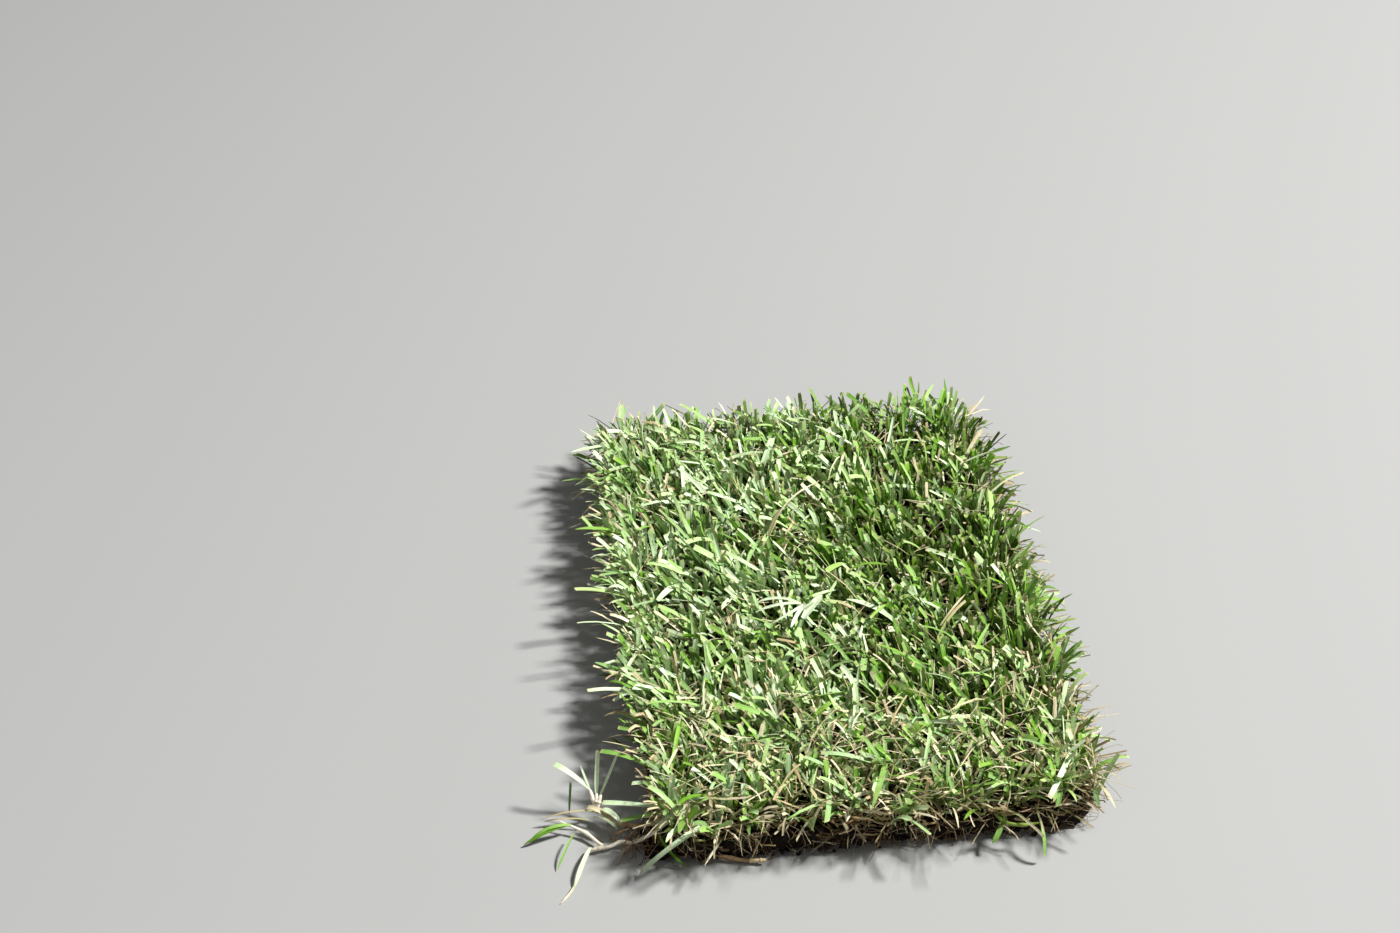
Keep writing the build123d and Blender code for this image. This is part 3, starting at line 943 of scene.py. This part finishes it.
class TURF_OT_litter(TurfStep, bpy.types.Operator):
    """Strews dry leaves over the top and round the torn edges"""

    bl_idname = "turf.litter"
    bl_label = "Dry litter"

    def execute(self, context):
        settings = context.scene.turf_leaves
        rng = draws(settings.seed + 400)
        count = settings.litter
        at_rim = rng.random(count) < 0.55
        rim, out = slab_rim(rng.random(count), rng.uniform(-0.012, 0.004, count))
        inside = rng.uniform(-1, 1, (count, 2)) * (SLAB_HALF - 0.004)
        front, _, back = zones(inside)
        plan = np.where(at_rim[:, None], rim, inside)

        def by_place(rim_range, inside_range):
            return np.where(at_rim, rng.uniform(*rim_range, count), rng.uniform(*inside_range, count))

        height = by_place((SOIL_TOP - 0.004, MAT_TOP + 0.022), (0.050, 0.072))
        outwards = bearing(out) + rng.normal(0, 1.1, count)
        heading = np.where(at_rim, outwards, rng.uniform(0, 2 * pi, count))
        start = by_place((-0.6, 0.9), (-0.1, 0.8))
        end = by_place((-1.2, 0.7), (-0.6, 0.6))
        length = by_place((0.010, 0.038), (0.018, 0.055))
        width = np.where(at_rim, 0.0008, 0.0014) + 0.0026 * rng.random(count) ** 3
        # Painted shade: most rim litter is darkened toward brown, as in the shade under the overhanging
        # leaves
        shade = np.where(at_rim & (rng.random(count) < 0.82), -rng.uniform(0.3, 0.95, count), 0.0)
        look = np.stack((np.full(count, 0.4), rng.uniform(0.75, 1.0, count), shade), axis=-1)
        share = np.where(at_rim, 0.52, 0.18 + 0.82 * front - 0.10 * back)
        stay = rng.random(count) < share
        return grow_leaves(
            "dry_litter", rng, raised(plan, height)[stay], heading[stay],
            (start[stay], end[stay]), length[stay], width[stay], np.zeros((count, 3))[stay], look[stay],
            settings.mown + 0.003, ("leaf_canopy",), SHORT_STATIONS,
        )


# Leaves and stalks that are placed one by one

def arch_paths(starts, ends, lift, stations):
    """Centre lines from start to end: the straight way plus a lift times 4 s (1 - s)."""
    share = np.asarray(stations)[None, :, None]
    bow = np.asarray(lift)[:, None, :] * 4 * share * (1 - share)
    return np.asarray(starts)[:, None] * (1 - share) + np.asarray(ends)[:, None] * share + bow


def placed_leaves(name, rng, rows, *nodes):
    """Leaves from rows of root, tip, lift and width in millimetres, look and whether the tip is cut."""
    *sizes, looks, cuts = (np.array(column) for column in zip(*rows))
    roots, tips, lifts, widths = (column / 1000 for column in sizes)
    count = len(roots)
    stations = np.linspace(0, 1, 11)
    paths = arch_paths(roots, tips, lifts, stations)
    paths[..., 2] = np.maximum(paths[..., 2], 0.0012)
    way = tips - roots
    across = heading_vector(bearing(way) + pi / 2)
    shape = blade_shape(stations, cuts)
    fold = rng.uniform(0.2, 0.5, count)[:, None] * (1 - 0.5 * stations)
    twist = rng.normal(0, 0.2, count)[:, None] + rng.normal(0, 0.35, count)[:, None] * stations
    rings = leaf_rings(paths, across, widths, shape, fold, twist, np.where(cuts, 0.12, 0.0))
    made = loft_rings(name, rings, notes=leaf_notes(rings, stations, rng, looks, cuts))
    return finish_piece(made, "leaf", "leaf", *nodes)


def placed_stems(name, rng, rows, *nodes):
    """Stalks from rows of their points and radius in millimetres, dryness and paleness.

    Each line goes through its points by Catmull-Rom pieces, swells at each point, as a knot
    does, and tapers at its far end.
    """
    stations, points = 25, 8
    paths, radii, dry, tones, joints = [], [], [], [], []
    for line, radius, dryness, paleness in rows:
        line = np.array(line) / 1000
        ends = np.concatenate((2 * line[:1] - line[1:2], line, 2 * line[-1:] - line[-2:-1]))
        s = np.linspace(0, len(line) - 1, stations)
        k = np.minimum(s.astype(int), len(line) - 2)
        t = (s - k)[:, None]
        a, b, c, d = (ends[k + step] for step in range(4))
        square, cube = 2 * a - 5 * b + 4 * c - d, 3 * b - a - 3 * c + d
        paths.append(0.5 * (2 * b + (c - a) * t + square * t**2 + cube * t**3))
        near = np.exp(-(((s - np.round(s)) / 0.10) ** 2))
        radii.append(radius / 1000 * (1 + 0.35 * near) * (1 - 0.7 * (s / s[-1]) ** 8))
        dry.append(dryness)
        tones.append(paleness)
        joints.append(near)
    rings = tube_rings(np.array(paths), np.array(radii), points)
    rings[..., 2] = np.maximum(rings[..., 2], 0.0002)
    made = loft_rings(name, rings, False, stem_notes(rings, rng, tones, dry, np.array(joints)))
    return finish_piece(made, "stem", "runner", *nodes)


# Looks of the placed leaves: tone, dryness, and wax with painted sheen, a painted brown shade below zero
GREEN = (0.5, 0.0, 0.2)
PALE = (0.9, 0.0, 0.9)
DEEP = (0.25, 0.0, 0.0)
STRAW = (0.4, 0.9, 0.0)
WHITE = (1.0, 0.12, 1.0)
PAINTED_SUNLIT = (1.0, 0.0, 1.0)
PINK = (0.1, 0.62, 0.3)
RUSTY = (0.1, 0.8, 0.0)

# A lift of nothing, and places that several rows share
FLAT = (0, 0, 0)
KNOT = (-257, -243, 14)
JOINT = (-243, -256, 14)
SHEATHS = ((-256, -234, 28), (-252, -236, 28), (-262, -230, 30))

# Each leaf's root, tip, lift, width, look and whether its tip is cut
CORNER_LEAVES = (
    (SHEATHS[0], (-252, -214, 62), FLAT, 4.8, WHITE, True),
    (SHEATHS[1], (-235, -220, 60), (1, 0, 2), 4.6, WHITE, True),
    (SHEATHS[2], (-293, -216, 52), (-3, 0, 6), 5.2, PALE, True),
    (SHEATHS[2], (-269, -219, 50), FLAT, 2.2, WHITE, False),
    ((-282, -241, 12), (-279, -231, 42), FLAT, 3, DEEP, True),
    ((-284, -257, 12), (-326, -268, 4), (0, 0, 3), 3.6, DEEP, False),
    ((-282, -256, 12), (-318, -262, 6), (0, 0, 5), 3.4, GREEN, False),
    ((-280, -268, 12), (-298, -302, 2), (0, 0, 3), 2.6, GREEN, False),
    ((-266, -282, 7), (-284, -325, 3), (0, 0, 4), 4, WHITE, False),
    ((-283, -322, 3), (-298, -342, 1), (2, 0, 1), 2.4, STRAW, False),
    (KNOT, (-309, -244, 10), (0, 0, 4), 3, STRAW, False),
    ((-265, -252, 12), (-306, -243, 6), (0, 0, 3), 2.2, STRAW, False),
    ((-198, -270, 38), (-252, -255, 36), (0, 0, 1), 4.6, PALE, True),
    ((-198, -272, 34), (-237, -270, 26), FLAT, 4.4, GREEN, True),
    ((-205, -230, 50), (-249, -204, 52), (0, 0, 4), 4.8, GREEN, True),
    ((-185, -254, 46), (-224, -247, 49), (0, 0, 3), 4, PALE, True),
    ((-205, -294, 30), (-181, -314, 4), (-4, 0, 0), 3, DEEP, False),
    ((-160, -279, 53), (-207, -298, 40), (0, 0, 4), 8, PALE, True),
    ((-241, -270, 14), (-259, -256, 19), (0, 0, 5), 7, WHITE, True),
    ((-236, -263, 14), (-253, -249, 21), (0, 2, 4), 5, WHITE, False),
    ((-248, -253, 15), (-265, -242, 19), (0, 0, 3), 4.4, STRAW, True),
)
SHOOT_LEAVES = (
    ((140, -326, 33), (141, -345, 10), (0, -4, 4), 4.2, GREEN, True),
    ((110, -316, 27), (102, -322, 50), (0, -4, 2), 4.6, DEEP, False),
    ((108, -314, 26), (96, -330, 16), (0, -3, 2), 5, GREEN, False),
)
STRAY_LEAVES = (
    # The big blade at the front left corner has the palest look, a painted sunlit brightness with full
    # painted sheen
    ((-164, -301, 41), (-224, -317, 5), (0, -9, 13), 8.2, PAINTED_SUNLIT, True),
    ((-51, 74, 72), (-33, 112, 77), (0, 0, 2), 4.8, PINK, False),
    ((-41, 94, 75), (12, 152, 78), (-4, 4, 2), 2.2, PINK, False),
    ((-130, 197, 76), (-107, 146, 78), (0, 0, 2), 5, WHITE, True),
    ((-36, -59, 70), (-14, -38, 81), (0, 0, 1), 9, WHITE, False),
    ((-40, -52, 72), (-22, -46, 80), (0, 0, 1), 6, WHITE, False),
    ((-36, -50, 77), (-51, -76, 75), (0, 0, 2), 4, WHITE, False),
    ((-36, -44, 77), (-82, -48, 74), (0, 0, 4), 4.2, WHITE, False),
    ((-36, -44, 77), (-78, -34, 75), (0, 4, 3), 3.2, WHITE, False),
    ((-34, -46, 77), (-70, -66, 72), (0, -4, 3), 3.6, WHITE, False),
    ((95, -88, 72), (127, -52, 79), (0, 0, 2), 2.2, RUSTY, False),
    ((-200, 226, 40), (-244, 214, 32), (0, 0, 6), 2.8, STRAW, False),
    ((-198, 234, 44), (-232, 240, 40), (0, 0, 6), 2.4, STRAW, False),
    ((-200, 212, 36), (-238, 188, 26), (0, 0, 6), 2.4, STRAW, False),
)

# Each stalk's points, radius, dryness and paleness
CORNER_STALKS = (
    (((-200, -270, 26), (-214, -272, 19), (-230, -264, 14), JOINT), 1.8, 1.0, 0.55),
    (((-231, -262, 12), JOINT, (-250, -247, 16), (-262, -240, 13)), 3, 1.0, 0.6),
    (
        (
            (-206, -284, 22), (-226, -283, 10), (-238, -278, 7),
            (-253, -281, 5), (-269, -264, 8), (-292, -251, 13),
        ),
        1.8, 1.0, 0.97,
    ),
    (((-253, -281, 5), (-259, -283, 6), (-266, -284, 6)), 2, 1.0, 1.0),
)
SHOOT = ((98, -290, 30), (104, -306, 29), (110, -316, 27), (124, -324, 30), (140, -326, 33))
TRAILER = ((-172, -290, 22), (-160, -302, 10), (-140, -309, 5), (-124, -313, 4), (-114, -315, 5))
SHOOT_STALKS = (
    (SHOOT, 1.7, 0.0, 0.4),
    (TRAILER, 1.9, 1.0, 0.5),
    (TRAILER[-2:] + ((-109, -316, 6),), 1.9, 1.0, 0.66),
)


class TURF_OT_corner_tuft(TurfStep, bpy.types.Operator):
    """Trails a runner with a tuft of leaves and hair roots out of the front left corner"""

    bl_idname = "turf.corner_tuft"
    bl_label = "Corner tuft"

    def execute(self, context):
        rng = draws(CORNER_SEED)
        placed_leaves("corner_leaves", rng, CORNER_LEAVES, "corner_runner")
        middle = np.array(KNOT) / 2 + (0, 0, 1)
        sheaths = [((KNOT, middle + np.array(top) / 2, top), 2.1, 1.0, 1.0) for top in SHEATHS]
        count = 52
        roots = rng.uniform((-238, -296, 6), (-198, -258, 24), (count, 3))
        fall = rng.uniform((-16, -16, 0), (14, 14, 0), (count, 3))
        bend = rng.uniform(-8, 8, (count, 3))
        size = rng.uniform(0.22, 0.6, count)
        tone = rng.uniform(0.0, 0.6, count)
        middles = roots * (1, 1, 0.5) + fall * 0.5 + bend
        feet = roots * (1, 1, 0) + fall + (0, 0, 0.6)
        lines = zip(roots, middles, feet)
        hairs = [(line, radius, 1.0, pale) for line, radius, pale in zip(lines, size, tone)]
        return placed_stems("corner_stem", rng, [*CORNER_STALKS, *sheaths, *hairs], "corner_runner")


class TURF_OT_front_shoot(TurfStep, bpy.types.Operator):
    """Hangs a green runner with three leaves out of the front edge, and a dry one farther left"""

    bl_idname = "turf.front_shoot"
    bl_label = "Front shoot"

    def execute(self, context):
        rng = draws(SHOOT_SEED)
        placed_stems("front_stem", rng, SHOOT_STALKS, "front_runner")
        return placed_leaves("front_shoot_leaves", rng, SHOOT_LEAVES, "front_runner")


class TURF_OT_strays(TurfStep, bpy.types.Operator):
    """Lays the few leaves that stand out from the rest"""

    bl_idname = "turf.strays"
    bl_label = "Stray leaves"

    def execute(self, context):
        rng = draws(STRAY_SEED)
        return placed_leaves("stray_leaves", rng, STRAY_LEAVES, "leaf_blades")


class TURF_OT_stage(TurfStep, bpy.types.Operator):
    """Sets the floor, the lights and the photograph's view"""

    bl_idname = "turf.stage"
    bl_label = "Stage"

    def execute(self, context):
        settings = context.scene.turf_stage
        ways = ((-1, -1), (1, -1), (1, 1), (-1, 1))
        corners = [(x * FLOOR_REACH, y * FLOOR_REACH, 0) for x, y in ways]
        mesh = bpy.data.meshes.new("floor")
        mesh.from_pydata(corners, [], [(0, 1, 2, 3)])
        mesh.materials.append(Finish("floor").done(Base_Color=(*settings.floor, 1.0), Roughness=0.9))
        place("floor", mesh)

        world = bpy.data.worlds.new("sky")
        world.use_nodes = True
        sky = world.node_tree.nodes["Background"]
        sky.inputs["Color"].default_value = (1.0, 1.0, 1.0, 1.0)
        sky.inputs["Strength"].default_value = settings.sky
        context.scene.world = world

        lamps = (
            ("key", KEY_PLACE, KEY_SIZE, settings.key),
            ("fill", FILL_PLACE, FILL_SIZE, settings.fill),
        )
        for name, spot, size, power in lamps:
            light = bpy.data.lights.new(name, "AREA")
            light.size = size
            light.energy = power
            place(name, light, spot, -Vector(spot))

        lens = bpy.data.cameras.new("view")
        lens.sensor_width = SENSOR
        lens.lens = PHOTO_FOCAL / PHOTO_WIDTH * SENSOR
        lens.clip_end = VIEW_REACH
        ahead = Vector((sin(VIEW_HEADING), cos(VIEW_HEADING), 0))
        right = Vector((cos(VIEW_HEADING), -sin(VIEW_HEADING), 0))
        eye = Vector((0, 0, VIEW_HEIGHT)) - ahead * VIEW_BACK - right * VIEW_LEFT
        aim = ahead * cos(VIEW_PITCH) - Vector((0, 0, sin(VIEW_PITCH)))
        context.scene.camera = place("view", lens, eye, aim)
        context.scene.view_settings.view_transform = "Standard"
        return {"FINISHED"}


class TURF_PT_sidebar(bpy.types.Panel):
    """Lists the turf's settings and the steps that make it"""

    bl_idname = "TURF_PT_sidebar"
    bl_label = "Turf Slab"
    bl_space_type = "VIEW_3D"
    bl_region_type = "UI"
    bl_category = "Turf"

    def draw(self, context):
        for settings in (context.scene.turf_soil, context.scene.turf_leaves, context.scene.turf_stage):
            box = self.layout.box()
            for prop in settings.bl_rna.properties:
                if prop.identifier not in {"rna_type", "name"}:
                    box.prop(settings, prop.identifier)
        for step in STEPS:
            self.layout.operator(step.bl_idname)


GROUPS = {"turf_soil": SoilSettings, "turf_leaves": LeafSettings, "turf_stage": StageSettings}

# Every operator, in the order in which they run
STEPS = TurfStep.__subclasses__()


def register():
    for made in (*GROUPS.values(), *STEPS, TURF_PT_sidebar):
        bpy.utils.register_class(made)
    for name, group in GROUPS.items():
        setattr(bpy.types.Scene, name, PointerProperty(type=group))


def unregister():
    for name in GROUPS:
        delattr(bpy.types.Scene, name)
    for made in reversed((*GROUPS.values(), *STEPS, TURF_PT_sidebar)):
        bpy.utils.unregister_class(made)


def main():
    register()
    for step in STEPS:
        group, name = step.bl_idname.split(".")
        getattr(getattr(bpy.ops, group), name)()


if __name__ == "__main__":
    main()
